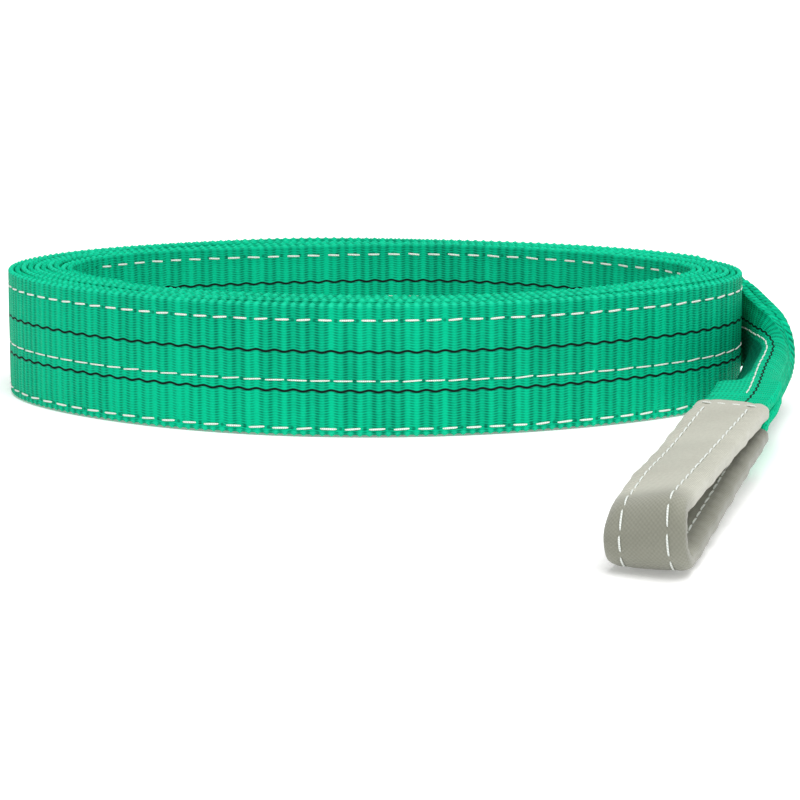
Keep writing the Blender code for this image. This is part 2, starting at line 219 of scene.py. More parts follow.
def coil_degrees(step):
    """Angles down the coil at even steps of running length, with those lengths."""
    fine = np.linspace(COIL_START, COIL_END, 24000)
    flat, _ = oval(fine, inset_at(fine) + 3.0)
    run = np.concatenate([[0.0], np.cumsum(np.hypot(*np.diff(flat, axis=0).T))])
    want = np.append(np.arange(0.0, run[-1] - 0.5 * step, step), run[-1])
    return np.interp(want, run, fine), want


def settle(deg, along):
    """Slow lifts of each turn's edge above the floor, growing after the first turn."""
    later = ease((deg - 330.0) / 120.0)
    wave = 0.5 + 0.5 * np.sin(along / 97.0) * np.cos(along / 41.0 + 1.3)
    return 1.5 * later * wave * (1.0 - ease((deg - COIL_END + 90.0) / 60.0))


def tail_frames():
    """Tail's middle line with its vectors and half width, twisting over to the crotch."""
    first = COIL_START
    start, _ = oval([first], inset_at([first]) + 0.5 * SLING_T)
    before, _ = oval([first - 14.0], inset_at([first - 14.0]) + 0.5 * SLING_T)
    knots = [
        (start[0, 0], start[0, 1], 30.0),
        (before[0, 0] + 3.6, before[0, 1] + 2.7, 30.0),
        (170.9, 6.0, 29.8), (172.0, -15.0, 28.6), (169.5, -40.0, 27.0),
        (163.8, -65.0, 26.0), (158.4, -88.0, 25.4), (152.3, -118.0, 24.8),
        (146.4, -146.3, 24.5), CROTCH,
    ]
    path = spline(knots, 221)
    ahead = unit(np.gradient(path, axis=0))
    y = path[:, 1]
    twist = np.interp(-y, [-20.0, 8.0, 22.0, 36.0, 50.0, 65.0, 110.0, 135.0],
                      [0.0, 12.0, 36.0, 62.0, 80.0, 86.0, 88.0, 90.0])
    twist = smooth(twist, 17)
    half = np.interp(-y, [-57.0, -45.0, -30.0, -15.0, 0.0, 15.0, 30.0],
                     [30.0, 26.0, 20.5, 17.3, 15.6, 14.6, 14.3])
    half = smooth(half, 13)
    outward = unit(-np.cross(ahead, UP))
    rise = unit(np.cross(outward, ahead))
    rise = rise * np.sign(rise[:, 2:3])
    ang = np.radians(twist)[:, None]
    across = rise * np.cos(ang) + outward * np.sin(ang)
    normal = outward * np.cos(ang) - rise * np.sin(ang)
    return path, across, normal, half, distances(path)


def loop_profile(length, height, leg):
    """Side view of an eye's nose: a half circle between the two legs."""
    r = 0.5 * (height - leg)
    bend = np.radians(np.linspace(90.0, -90.0, 28))
    nose_s = length - 0.5 * leg - r + r * np.cos(bend)
    nose_h = 0.5 * height + r * np.sin(bend)
    return nose_s, nose_h, np.linspace(0.0, 1.0, 40)[:-1]


def outer_eye_frames():
    """Loop of the outer eye: top leg from the crotch, round the nose, low leg back."""
    leg = FOLD_T + 2.0 * (SLEEVE_WALL + SLEEVE_ROOM)
    nose_s, nose_h, run = loop_profile(EYE_L, EYE_H, leg)
    nose_h = nose_h + EYE_LIFT
    top_in = CROTCH[2] + 0.5 * (FOLD_T + PLY_GAP)
    low_in = CROTCH[2] - 0.5 * (FOLD_T + PLY_GAP)
    h_top = top_in + (nose_h[0] - top_in) * ease(run)
    drop = 0.26 * part_way(run * 9.0) + 0.44 * run ** 1.3 + 0.3 * ease(run)
    h_low = low_in + (nose_h[-1] - low_in) * drop
    s = np.concatenate([run * nose_s[0], nose_s, (run * nose_s[-1])[::-1]])
    h = np.concatenate([h_top, nose_h, h_low[::-1]])
    heading = math.radians(EYE_AIM)
    aim = np.array([math.sin(heading), math.cos(heading), 0.0])
    wide = np.array([-aim[1], aim[0], 0.0])
    base = np.array([CROTCH[0], CROTCH[1], 0.0])
    path = base + aim * s[:, None] + UP * h[:, None]
    ahead = unit(np.gradient(path, axis=0))
    across = np.tile(wide, (len(path), 1))
    return resample(path, [across, unit(np.cross(ahead, across))], 1.2)


def lean_nose(points):
    """Real set of the outer eye's nose, which a straight loop doesn't have.

    Its foot draws back by 7 mm and its top slides forward on the right and back on the
    left, by 0.5 mm for each millimetre across. The top leg's left side droops by 3 mm,
    and by 2.5 mm more at the nose. The sleeve's mouth reaches 5.5 mm back on the left.
    """
    heading = math.radians(EYE_AIM)
    aim = np.array([math.sin(heading), math.cos(heading), 0.0])
    wide = np.array([-aim[1], aim[0], 0.0])
    rel = points - np.array([CROTCH[0], CROTCH[1], 0.0])
    q, a, z = rel @ aim, rel @ wide, points[..., 2]
    high = np.clip(z / 31.0, 0.0, 1.0)
    near = ease((q - 110.0) / 80.0)
    slide = near * (-7.0 * (1.0 - high) + 0.5 * a * high)
    droop = ease((q - 20.0) / 90.0) * ease((z - 6.0) / 22.0) * np.clip(0.45 - a / 20.0, 0.0, 1.3)
    droop = droop * (3.0 + 2.5 * ease((q - 145.0) / 45.0))
    mouth = ease((q - 2.0) / 11.0) * (1.0 - ease((q - 14.0) / 24.0))
    slide = slide - 5.5 * mouth * np.clip(0.5 - a / 30.0, 0.0, 1.0)
    return points + aim * slide[..., None] - UP * droop[..., None]


def inner_eye_frames():
    """Loop of the inner eye, on edge along the inside of the coil's front turns."""
    leg = FOLD_T + 2.0 * (SLEEVE_WALL + SLEEVE_ROOM)
    first = COIL_END + 32.6
    degs = np.linspace(first, first + 130.0, 400)
    flat, _ = oval(degs, inset_at(degs))
    run = np.concatenate([[0.0], np.cumsum(np.hypot(*np.diff(flat, axis=0).T))])
    nose_s, nose_h, step = loop_profile(INNER_L, INNER_BULGE, leg)
    near_in = 0.5 * FOLD_T
    far_in = 1.5 * FOLD_T + PLY_GAP
    near = near_in + (0.5 * leg - near_in + INNER_GAP) * ease(step * 6.0)
    far_top = INNER_BULGE - 0.5 * leg + INNER_GAP
    far = far_in + (far_top - far_in) * part_way(step * 1.3)
    s = np.concatenate([step * nose_s[0], nose_s, (step * nose_s[0])[::-1]])
    d = np.concatenate([near, INNER_BULGE - nose_h + INNER_GAP, far[::-1]])
    ang = np.interp(s, run, degs)
    base, out = oval(ang, inset_at(ang))
    pos = base - out * d[:, None]
    path = np.column_stack([pos, np.full(len(pos), 0.5 * FOLD_W + 1.6)])
    up = np.tile(UP, (len(path), 1))
    ahead = unit(np.gradient(path, axis=0))
    return resample(path, [up, unit(np.cross(ahead, up))], 1.2)


# ---- making meshes ----
def grid_faces(rows, cols, wrap, start=0):
    """Four corners of every cell of a grid of points, wrapped round its section or not."""
    i = np.arange(rows - 1)[:, None]
    j = np.arange(cols if wrap else cols - 1)[None, :]
    k = (j + 1) % cols
    cell = np.stack([i * cols + j, i * cols + k, (i + 1) * cols + k, (i + 1) * cols + j], -1)
    return cell.reshape(-1, 4) + start


def new_piece(name, points, quads, corners, triangles=None, tri_corners=None):
    """Mesh from arrays: points, four-cornered faces, then fans, each with its cloth map."""
    if name.startswith(ON_OUTER_EYE):
        points = lean_nose(points)
    tri = np.zeros((0, 3), int) if triangles is None else triangles
    flat = np.concatenate([quads.ravel(), tri.ravel()])
    sizes = np.concatenate([np.full(len(quads), 4), np.full(len(tri), 3)])
    mesh = bpy.data.meshes.new(name)
    mesh.vertices.add(len(points))
    mesh.vertices.foreach_set("co", ((points - SHIFT) * MM).astype(np.float32).ravel())
    mesh.loops.add(len(flat))
    mesh.loops.foreach_set("vertex_index", flat.astype(np.int32))
    mesh.polygons.add(len(sizes))
    starts = np.concatenate([[0], np.cumsum(sizes)[:-1]])
    mesh.polygons.foreach_set("loop_start", starts.astype(np.int32))
    mesh.polygons.foreach_set("use_smooth", np.ones(len(sizes), bool))
    layer = mesh.uv_layers.new(name="Cloth")
    uv = corners.reshape(-1, 2)
    if tri_corners is not None:
        uv = np.concatenate([uv, tri_corners.reshape(-1, 2)])
    layer.data.foreach_set("uv", uv.astype(np.float32).ravel())
    mesh.update(calc_edges=True)
    mesh.validate()
    piece = bpy.data.objects.new(name, mesh)
    bpy.context.scene.collection.objects.link(piece)
    return piece


def swept(name, rings, along, round_it):
    """Closed body from rings of points: side cells and a fan over each end.

    The cloth map is length along the path and length round the section, in millimetres.
    """
    rows, cols = rings.shape[:2]
    quads = grid_faces(rows, cols, True)
    i = np.repeat(np.arange(rows - 1), cols)
    j = np.tile(np.arange(cols), rows - 1)
    u0, u1 = along[i], along[i + 1]
    round_it = np.broadcast_to(round_it, (rows, cols + 1))
    corners = np.stack([np.stack([u0, round_it[i, j]], -1),
                        np.stack([u0, round_it[i, j + 1]], -1),
                        np.stack([u1, round_it[i + 1, j + 1]], -1),
                        np.stack([u1, round_it[i + 1, j]], -1)], 1)
    points = rings.reshape(-1, 3)
    mids = np.stack([rings[0].mean(0), rings[-1].mean(0)])
    first = len(points)
    points = np.concatenate([points, mids])
    a = np.arange(cols)
    b = (a + 1) % cols
    last = (rows - 1) * cols
    head = np.stack([b, a, np.full(cols, first)], 1)
    foot = np.stack([last + a, last + b, np.full(cols, first + 1)], 1)
    mid_v = np.full(cols, round_it[0, 0])
    fans = []
    for u, one, two in ((along[0], round_it[0, b], round_it[0, a]),
                        (along[-1], round_it[-1, a], round_it[-1, b])):
        us = np.full(cols, u)
        fans.append(np.stack([np.stack([us, one], -1), np.stack([us, two], -1),
                              np.stack([us, mid_v], -1)], 1))
    tri_corners = np.concatenate(fans)
    piece = new_piece(name, points, quads, corners, np.concatenate([head, foot]), tri_corners)
    face_outward(piece)
    return piece


def face_outward(piece):
    """Turn every face the same way and outwards, by the sign of the closed volume."""
    mesh = piece.data
    mesh.calc_loop_triangles()
    co = np.zeros(len(mesh.vertices) * 3, np.float32)
    mesh.vertices.foreach_get("co", co)
    co = co.reshape(-1, 3).astype(float)
    tri = np.zeros(len(mesh.loop_triangles) * 3, np.int32)
    mesh.loop_triangles.foreach_get("vertices", tri)
    a, b, c = (co[tri.reshape(-1, 3)[:, k]] - co[0] for k in range(3))
    if np.sum(a * np.cross(b, c)) < 0.0:
        mesh.flip_normals()


# ---- webbing ----
def web_section(half, low, high, along, dips, scallop, crown, face_points):
    """Section of one ply at every station, as offsets across and along the normal.

    Both faces run from edge to edge and sink in a bell curve at each seam. The edges are
    half ellipses that swell and shrink with a cosine of the length along, one to each rib.
    """
    f = np.asarray(face_points)
    phi = np.radians(np.linspace(66.0, -66.0, 4))
    half, low, high = (np.broadcast_to(a, along.shape)[:, None] for a in (half, low, high))
    thick = high - low
    r = np.minimum(0.62 * thick, 2.0)
    bead = scallop * (np.cos(2.0 * math.pi * along / RIB)[:, None] - 1.0)
    wide = half - r
    a_face = wide * f[None, :]
    sink = sum(hump(a_face, d[:, None], 1.5) for d in dips) if len(dips) else 0.0 * a_face
    swell = crown * (1.0 - np.abs(f[None, :]) ** 6) - 0.3 * sink
    top = high + swell - crown
    bottom = low - swell + crown
    mid = 0.5 * (low + high)
    edge = wide + (r + bead) * np.cos(phi)[None, :]
    rim = 0.5 * thick * np.sin(phi)[None, :]
    a = np.concatenate([a_face, edge, a_face[:, ::-1], -edge], 1)
    h = np.concatenate([top, mid + rim, bottom[:, ::-1], mid - rim], 1)
    v = np.concatenate([f * 28.4, np.linspace(29.0, 30.8, 4),
                        f[::-1] * 28.4, -np.linspace(29.0, 30.8, 4)])
    return a, h, np.concatenate([v, v[:1]])


def webbing_ply(name, path, across, normal, half, low, high, along, dips=(), scallop=0.5,
                crown=0.12, hang=None, shade=None, face_points=MANY, slide=0.0):
    """One ply of webbing swept along its path; the map across starts at the lower edge.

    Where the edges are folded in, the map keeps the cloth's own size on the upper side of
    the middle seam and shrinks a little below it. slide moves the map up the web. hang
    lowers the lower side by the distance from the middle to the power of 1.3, and the
    upper side by a third of that to the power of 2.5, and draws the upper edge in. shade
    is painted shade on the lower side under the fold, from 0 to 1, where little light
    reaches; it is kept as a point attribute, which darkens the cloth.
    """
    a, h, v = web_section(half, low, high, along, dips, scallop, crown, face_points)
    folded = np.broadcast_to((30.0 - half) / 15.7, along.shape)[:, None]
    true_v = 32.4 + np.where(a > 0.0, 1.25, 0.62) * a
    flat_v = np.broadcast_to(v[:-1], a.shape) + 30.0
    v = flat_v + (true_v - flat_v) * np.clip(folded * 1.6, 0.0, 1.0) - slide
    rings = path[:, None] + across[:, None] * a[..., None] + normal[:, None] * h[..., None]
    if hang is not None:
        left = np.clip(-a / 14.3, 0.0, 1.2)
        right = np.clip(a / 14.3, 0.0, 1.2)
        fall = hang[:, None] * (left ** 1.3 + 0.33 * right ** 2.5)
        draw = hang[:, None] * (-0.1 * left ** 2 - 0.14 * right ** 3)
        rings = rings - UP * fall[..., None] + across[:, None] * draw[..., None]
    piece = swept(name, rings, along, np.concatenate([v, v[:, :1]], 1))
    if hang is not None:
        # painted shade: darkens the lower side under the fold, where little light reaches
        below = -a / np.broadcast_to(half, along.shape)[:, None]
        deep = shade[:, None] * ease((below + 0.12) / 0.25)
        field = piece.data.attributes.new("painted_fold_shade", "FLOAT", "POINT")
        field.data.foreach_set("value", np.append(deep.ravel(), [0.0, 0.0]).astype(np.float32))
    return piece


def coil_line():
    """Stations of the coil: foot of the outer face, outward normal, degrees and length."""
    deg, along = coil_degrees(RIB / 3.0)
    flat, out = oval(deg, inset_at(deg))
    z = 30.0 + settle(deg, along)
    path = np.column_stack([flat, z])
    normal = np.column_stack([out, np.zeros(len(out))])
    return path, np.tile(UP, (len(path), 1)), normal, deg, along


def seam_lines(along, squeeze=1.0, middle_squeeze=1.0):
    """Distance of each of the three seams from the middle line, at every station."""
    rows = np.array(SEAM_Z) - HALF_W
    return [np.full(len(along), rows[0]) * squeeze,
            np.full(len(along), rows[1]) * middle_squeeze,
            np.full(len(along), rows[2]) * squeeze]


def make_coil():
    """Both plies of the coiled turns."""
    path, up, out, _, along = coil_line()
    dips = seam_lines(along)
    made = []
    for name, node, low, slide in (("outer_ply_webbing", "outer_ply_coil", -PLY_T, 0.0),
                                   ("inner_ply_webbing", "inner_ply_coil", -SLING_T, INNER_SLIDE)):
        piece = webbing_ply(name, path, up, out, HALF_W, low, low + PLY_T, along, dips,
                            face_points=FEW, slide=slide)
        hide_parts(node)
        made.append(piece)
    return made


# ---- stitching ----
def stitches(name, path, across, normal, along, lift, pitch, length, phase=0.5, width=1.15,
             tall=0.5, seed=1, face=1.0):
    """Row of lock stitches, each a spindle that dives into the cloth at both its ends.

    Stitch k is centred at (k + phase) pitches. Its half width is the square root of one
    less t to the fourth, and it lies across the row at a small slant.
    """
    random = np.random.default_rng(seed)
    lo, hi = min(along[0], along[-1]), max(along[0], along[-1])
    middle = (np.arange(math.floor(lo / pitch) - 1, math.ceil(hi / pitch) + 1) + phase) * pitch
    middle = middle[(middle - 0.5 * length > lo) & (middle + 0.5 * length < hi)]
    size = length * (1.0 + random.uniform(-0.06, 0.06, len(middle)))
    slant = random.uniform(-0.02, 0.09, len(middle))
    t = np.linspace(-1.0, 1.0, 9)
    s = middle[:, None] + 0.5 * size[:, None] * t[None, :]
    body = np.sqrt(np.clip(1.0 - t ** 4, 0.0, 1.0))
    ang = np.radians(np.arange(6) * 60.0 + 30.0)
    order = np.argsort(along)
    read = [np.stack([np.interp(s, along[order], a[order, q]) for q in range(3)], -1)
            for a in (path, across, normal)]
    lift = np.broadcast_to(lift, along.shape)
    up = np.interp(s, along[order], lift[order])
    side = slant[:, None] * t[None, :] * length * 0.5
    a = side[..., None] + 0.5 * width * body[None, :, None] * np.cos(ang)
    sink = up + face * (0.22 * body[None, :] - 0.42 * t[None, :] ** 6)
    h = sink[..., None] + 0.5 * tall * body[None, :, None] * np.sin(ang)
    rings = read[0][:, :, None] + read[1][:, :, None] * a[..., None]
    rings = rings + read[2][:, :, None] * h[..., None]
    count = len(middle)
    one = grid_faces(9, 6, True)
    quads = (one[None] + (np.arange(count) * 54)[:, None, None]).reshape(-1, 4)
    us = np.repeat(s.reshape(count, 9, 1), 6, 2).reshape(-1)
    vs = np.tile(np.arange(6.0), count * 9)
    corners = np.stack([us[quads], vs[quads]], -1)
    cap = np.array([[0, 2, 1], [0, 3, 2], [0, 4, 3], [0, 5, 4],
                    [48, 49, 50], [48, 50, 51], [48, 51, 52], [48, 52, 53]])
    tri = (cap[None] + (np.arange(count) * 54)[:, None, None]).reshape(-1, 3)
    piece = new_piece(name, rings.reshape(-1, 3), quads, corners, tri,
                      np.stack([us[tri], vs[tri]], -1))
    face_outward(piece)
    return piece


ROWS = (("top", 9.5, 7.4), ("middle", 10.1, 9.9), ("bottom", 10.7, 8.0))


def stitch_coil():
    """Three rows on the open outer face and three on the open inner face."""
    path, up, out, deg, along = coil_line()
    for n, (row, pitch, length) in enumerate(ROWS):
        z = SEAM_Z[n] - HALF_W
        slim = 0.72 if row == "middle" else 0.95
        part = (deg > COIL_START + 1.0) & (deg < 381.0)
        line = path[part] + up[part] * z
        piece = stitches("outer_%s_stitches" % row, line, up[part], out[part], along[part],
                         -0.3, pitch, length, width=slim, seed=n)
        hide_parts("coil_outer_seam_" + row)
        finish_piece(piece, "sewing_thread", "coil")
        part = (deg > COIL_END - 219.0) & (deg < COIL_END - 62.0)
        line = path[part] + up[part] * (INNER_SEAM_Z[n] - HALF_W)
        piece = stitches("inner_%s_stitches" % row, line, up[part], out[part], along[part],
                         -SLING_T + 0.3, 10.3, 7.6, width=slim, seed=n + 5, face=-1.0)
        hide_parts("coil_inner_seam_" + row)
        finish_piece(piece, "sewing_thread", "coil")


def make_tail():
    """Both plies of the stretch that leaves the coil, twists over and folds in."""
    path, across, normal, half, run = tail_frames()
    along = -run
    thick = np.minimum(PLY_T * 30.0 / half, FOLD_T)
    mid = 0.5 * PLY_GAP
    squeeze = half / 30.0
    dips = seam_lines(along, squeeze, squeeze ** 2)
    folded = np.clip((30.0 - half) / 15.7, 0.0, 1.0)
    dips[1] = dips[1] + 2.7 * folded
    y = path[:, 1]
    hang = 19.0 * ease((-y - 6.0) / 42.0) * (1.0 - ease((-y - 98.0) / 30.0))
    # painted shade under the tail's fold, over the stretch where it hangs down
    shade = ease((34.0 - y) / 30.0) * (1.0 - ease((-y - 92.0) / 22.0))
    for name, node, low, high in (("outer_ply_tail_webbing", "outer_ply_tail", mid, mid + thick),
                                  ("inner_ply_tail_webbing", "inner_ply_tail", -mid - thick,
                                   -mid)):
        piece = webbing_ply(name, path, across, normal, half, low, high, along, dips,
                            hang=hang, shade=shade)
        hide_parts(node)
        dress(piece, "green_webbing")
        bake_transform(piece)
    for n, (row, pitch, length) in enumerate(ROWS):
        off = dips[n]
        for face, sign in (("outer", 1.0), ("inner", -1.0)):
            if row != "middle" and face == "inner":
                continue
            part = TAIL_MIDDLE if row == "middle" else TAIL_OUTER
            drop = hang * (np.clip(-off / 14.3, 0.0, 1.0) ** 1.3
                           + 0.33 * np.clip(off / 14.3, 0.0, 1.0) ** 2.5)
            line = (path + across * off[:, None] - UP * drop[:, None])[part]
            lift = (sign * (mid + thick) - sign * 0.3)[part]
            piece = stitches("tail_%s_%s_stitches" % (face, row), line, across[part],
                             normal[part], along[part], lift, pitch, length,
                             width=0.8 if row == "middle" else 1.15, seed=20 + n, face=sign)
            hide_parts("tail_%s_seam_%s" % (face, row))
            if face == "inner":
                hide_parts("tail_inner_seam_top", "tail_inner_seam_bottom")
            dress(piece, "sewing_thread")
            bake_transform(piece)


def make_neck():
    """Both plies where the coil's inner end folds in to half its width."""
    deg = np.linspace(COIL_END + 0.3, COIL_END + 32.2, 66)
    t = ease((deg - deg[0]) / (deg[-1] - deg[0]))
    half = 30.0 - 15.7 * t
    thick = np.minimum(PLY_T * 30.0 / half, FOLD_T)
    flat, out = oval(deg, inset_at(deg))
    path = np.column_stack([flat, half + 1.6 * t])
    normal = np.column_stack([out, np.zeros(len(out))])
    up = np.tile(UP, (len(path), 1))
    along = 3724.7 + distances(path)
    squeeze = half / 30.0
    dips = seam_lines(along, squeeze, squeeze ** 2)
    for name, node, low, high in (("outer_ply_neck_webbing", "outer_ply_neck", -thick, 0.0),
                                  ("inner_ply_neck_webbing", "inner_ply_neck",
                                   -2.0 * thick - PLY_GAP, -thick - PLY_GAP)):
        piece = webbing_ply(name, path, up, normal, half, low, high, along, dips)
        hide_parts(node)
        finish_piece(piece, "green_webbing", "coil")


# ---- eyes ----
def sleeve_section(width, height):
    """Rounded oblong: the points of a superellipse, as offsets across and along the normal."""
    p = np.linspace(0.0, 2.0 * math.pi, 64, endpoint=False)
    c, s = np.cos(p), np.sin(p)
    a = width * np.sign(c) * np.abs(c) ** 0.42
    h = height * np.sign(s) * np.abs(s) ** 0.62
    return a, h


def sleeve_shell(name, path, across, normal, along, half, thick):
    """Sleeve tube with an outer and an inner skin, joined round both ends.

    The outer skin sinks at the two stitch rows, creases in slow waves near them and
    bulges into wrinkles on the inside of the bend, where the cloth is pushed together.
    """
    ow = half + SLEEVE_ROOM + SLEEVE_WALL
    ot = thick + SLEEVE_ROOM + SLEEVE_WALL
    row = ow - SLEEVE_EDGE
    bent = np.linalg.norm(np.gradient(unit(np.gradient(path, axis=0)), axis=0), axis=1)
    bent = smooth(bent, 13)
    bent = np.clip(bent / (bent.max() + 1e-9), 0.0, 1.0)[:, None]
    a, h = (np.tile(part, (len(path), 1)) for part in sleeve_section(ow, ot))
    side = np.sign(h)
    flatness = ease(np.abs(h) / ot * 1.3 - 0.3)
    sink = sum(hump(a, edge, 1.3) for edge in (-row, row)) * flatness
    s = along[:, None]
    pucker = 0.16 * np.sin(2 * math.pi * s / 9.7 + 0.35 * a) * hump(np.abs(a), row + 2.5, 3.2)
    sag = 0.22 * np.sin(s / 17.0 + 0.11 * a + 1.0) * np.cos(a / 9.0)
    crease = np.where(h < 0.0, 0.55, 0.0) * bent * np.sin(2 * math.pi * s / 6.3 + 0.2 * a)
    outer_h = h + side * (-0.4 * sink + pucker * flatness + sag * flatness * 0.7 + crease)
    frill = 1.0 + 0.012 * np.sin(s / 5.3) + 0.01 * np.sin(s / 2.9 + 2.0)
    outer_a = a * frill
    inner_a = a * (half + SLEEVE_ROOM) / ow
    inner_h = h * (thick + SLEEVE_ROOM - 0.1) / ot
    outer = path[:, None] + across[:, None] * outer_a[..., None]
    outer = outer + normal[:, None] * outer_h[..., None]
    inner = path[:, None] + across[:, None] * inner_a[..., None]
    inner = inner + normal[:, None] * inner_h[..., None]
    rows, cols = a.shape
    base = rows * cols
    quads = [grid_faces(rows, cols, True), grid_faces(rows, cols, True, base)[:, ::-1]]
    j = np.arange(cols)
    k = (j + 1) % cols
    last = (rows - 1) * cols
    quads.append(np.stack([k, j, base + j, base + k], 1))
    quads.append(np.stack([last + j, last + k, base + last + k, base + last + j], 1))
    quads = np.concatenate(quads)
    girth = np.concatenate([[0.0], np.cumsum(np.hypot(
        np.diff(np.append(a[0], a[0, 0])), np.diff(np.append(h[0], h[0, 0]))))])
    us = np.tile(np.repeat(along, cols), 2)
    vs = np.tile(np.tile(girth[:-1], rows), 2)
    corner_v = vs[quads]
    wrapped = corner_v.max(1, keepdims=True) - corner_v > 0.5 * girth[-1]
    corner_v = np.where(wrapped, corner_v + girth[-1], corner_v)
    points = np.concatenate([outer.reshape(-1, 3), inner.reshape(-1, 3)])
    piece = new_piece(name, points, quads, np.stack([us[quads], corner_v], -1))
    face_outward(piece)
    return piece, ow, ot, row


def cut(frames, first, last):
    """Stretch of a path, with its vectors and lengths, between two distances."""
    part = (frames[3] >= first) & (frames[3] <= last)
    return [f[part] for f in frames]


def make_eye(tag, frames, first, last, parent, seed):
    """Folded webbing loop, its wear sleeve and every row of white stitching on it.

    The point at the loop's joint, 17 mm along, is worked out but not used.
    """
    path, across, normal, along = frames
    half, thick = 0.5 * FOLD_W, 0.5 * FOLD_T
    total = along[-1]
    web = webbing_ply(tag + "_eye_webbing", path, across, normal, half, -thick, thick,
                      along, [np.zeros(len(along)) - 0.5], scallop=0.15)
    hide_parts(tag + "_eye_web")
    dress(web, "green_webbing")
    end = (path[BEND_STATIONS] - SHIFT) * MM
    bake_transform(web)
    p, a, n, s = cut(frames, first, total - last)
    sleeve, ow, ot, row = sleeve_shell(tag + "_wear_sleeve", p, a, n, s, half, thick)
    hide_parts(tag + "_eye_sleeve")
    finish_piece(sleeve, "sleeve_cloth", parent)
    part = slice(ROW_INSET + 1, -1 - ROW_INSET)
    for side, off in (("left", -row), ("right", row)):
        line = p + a * off
        for face, lift in (("outside", ot - 0.2), ("inside", -ot + 0.2)):
            piece = stitches("%s_sleeve_%s_%s_stitches" % (tag, face, side), line[part],
                             a[part], n[part], s[part], lift, 9.2, 7.9, seed=seed,
                             width=0.9, face=math.copysign(1.0, lift))
            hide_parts("%s_sleeve_row_%s_%s" % (tag, face, side))
            finish_piece(piece, "sewing_thread", parent)
            seed = seed + 1
    for end, at, step in (("upper", ROW_INSET, 1), ("lower", -1 - ROW_INSET, -1)):
        ahead = unit(p[at + step] - p[at])
        wide = np.linspace(-(ow - 3.0), ow - 3.0, 25)
        line = p[at] + a[at] * wide[:, None]
        flat = np.tile(ahead, (25, 1))
        rise = np.tile(n[at], (25, 1))
        piece = stitches("%s_sleeve_%s_end_stitches" % (tag, end), line, flat, rise,
                         wide - wide[0], ot - 0.15, 6.2, 4.9, seed=seed)
        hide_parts("%s_sleeve_end_row_%s" % (tag, end))
        finish_piece(piece, "sewing_thread", parent)


def make_label():
    """Blank sewn-in label: a thin sheet that stands out from the turn in a slow curve."""
    degs = np.linspace(COIL_END - 8.0, COIL_END - 60.0, 200)
    line, _ = oval(degs, inset_at(degs) + SLING_T)
    run = np.concatenate([[0.0], np.cumsum(np.hypot(*np.diff(line, axis=0).T))])
    s = np.linspace(0.0, 46.0, 47)
    ang = np.interp(s, run, degs)
    base, out = oval(ang, inset_at(ang) + SLING_T)
    gap = 1.0 + 2.2 * ease(s / 46.0)
    path = np.column_stack([base - out * gap[:, None], np.full(47, 20.0)])
    up = np.tile(UP, (47, 1))
    normal = np.column_stack([out, np.zeros(47)])
    f = np.linspace(-1.0, 1.0, 21)
    wave = 0.22 * np.sin(s[:, None] / 8.0 + 2.0 * f[None, :]) * ease(s / 20.0)[:, None]
    a = np.concatenate([17.0 * f, 17.0 * f[::-1]])[None, :] * np.ones((47, 1))
    h = np.concatenate([wave, wave[:, ::-1] - 0.7], 1) - 0.05
    rings = path[:, None] + up[:, None] * a[..., None] + normal[:, None] * h[..., None]
    v = np.concatenate([f, f[::-1], f[:1]]) * 17.0
    piece = swept("blank_label", rings, s, v)
    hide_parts("label")
    finish_piece(piece, "label_cloth", "label")
    side = path[0] * 0.93 + path[1] * 0.07
    rise = np.linspace(-15.0, 15.0, 31)
    ahead = np.tile(unit(path[1] - path[0]), (31, 1))
    piece = stitches("label_stitches", side + UP * rise[:, None], ahead,
                     np.tile(normal[0], (31, 1)), rise + 15.0, -0.75, 4.2, 3.2, width=0.8,
                     tall=0.4, seed=77, face=-1.0)
    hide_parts("label_seam")
    finish_piece(piece, "sewing_thread", "label")


# ---- finishes ----
class Wiring:
    """Short way to add and join shader nodes in one tree."""

    def __init__(self, tree):
        self.tree = tree

    def node(self, kind, **settings):
        """New node with its plain settings."""
        made = self.tree.nodes.new(kind)
        for key, value in settings.items():
            setattr(made, key, value)
        return made

    def put(self, value, socket):
        """Join an output to a socket, or set the socket's own value."""
        if isinstance(value, bpy.types.NodeSocket):
            self.tree.links.new(value, socket)
        else:
            socket.default_value = value

    def math(self, operation, a, b=0.0, c=0.0, clamp=False):
        """One Math node."""
        made = self.node("ShaderNodeMath", operation=operation, use_clamp=clamp)
        for value, socket in zip((a, b, c), made.inputs):
            self.put(value, socket)
        return made.outputs[0]

    def wave(self, x, length, shift=0.0):
        """Half of one plus the cosine of x over a length: 1 on each crest, 0 between."""
        turn = self.math("MULTIPLY_ADD", x, 2.0 * math.pi / length, shift)
        return self.math("MULTIPLY_ADD", self.math("COSINE", turn), 0.5, 0.5)

    def band(self, x, inner, outer):
        """Smooth 1 where the size of x is under inner, 0 where it is over outer."""
        made = self.node("ShaderNodeMapRange", interpolation_type="SMOOTHSTEP")
        self.put(self.math("ABSOLUTE", x), made.inputs["Value"])
        made.inputs["From Min"].default_value = inner
        made.inputs["From Max"].default_value = outer
        made.inputs["To Min"].default_value = 1.0
        made.inputs["To Max"].default_value = 0.0
        return made.outputs["Result"]

    def blend(self, factor, a, b):
        """Mix two colours."""
        made = self.node("ShaderNodeMix", data_type="RGBA")
        self.put(factor, made.inputs[0])
        self.put(a, made.inputs[6])
        self.put(b, made.inputs[7])
        return made.outputs[2]

    def noise(self, place, scale, detail=3.0):
        """Cloudy noise at a place."""
        made = self.node("ShaderNodeTexNoise")
        self.put(place, made.inputs["Vector"])
        made.inputs["Scale"].default_value = scale
        made.inputs["Detail"].default_value = detail
        return made.outputs["Fac"]


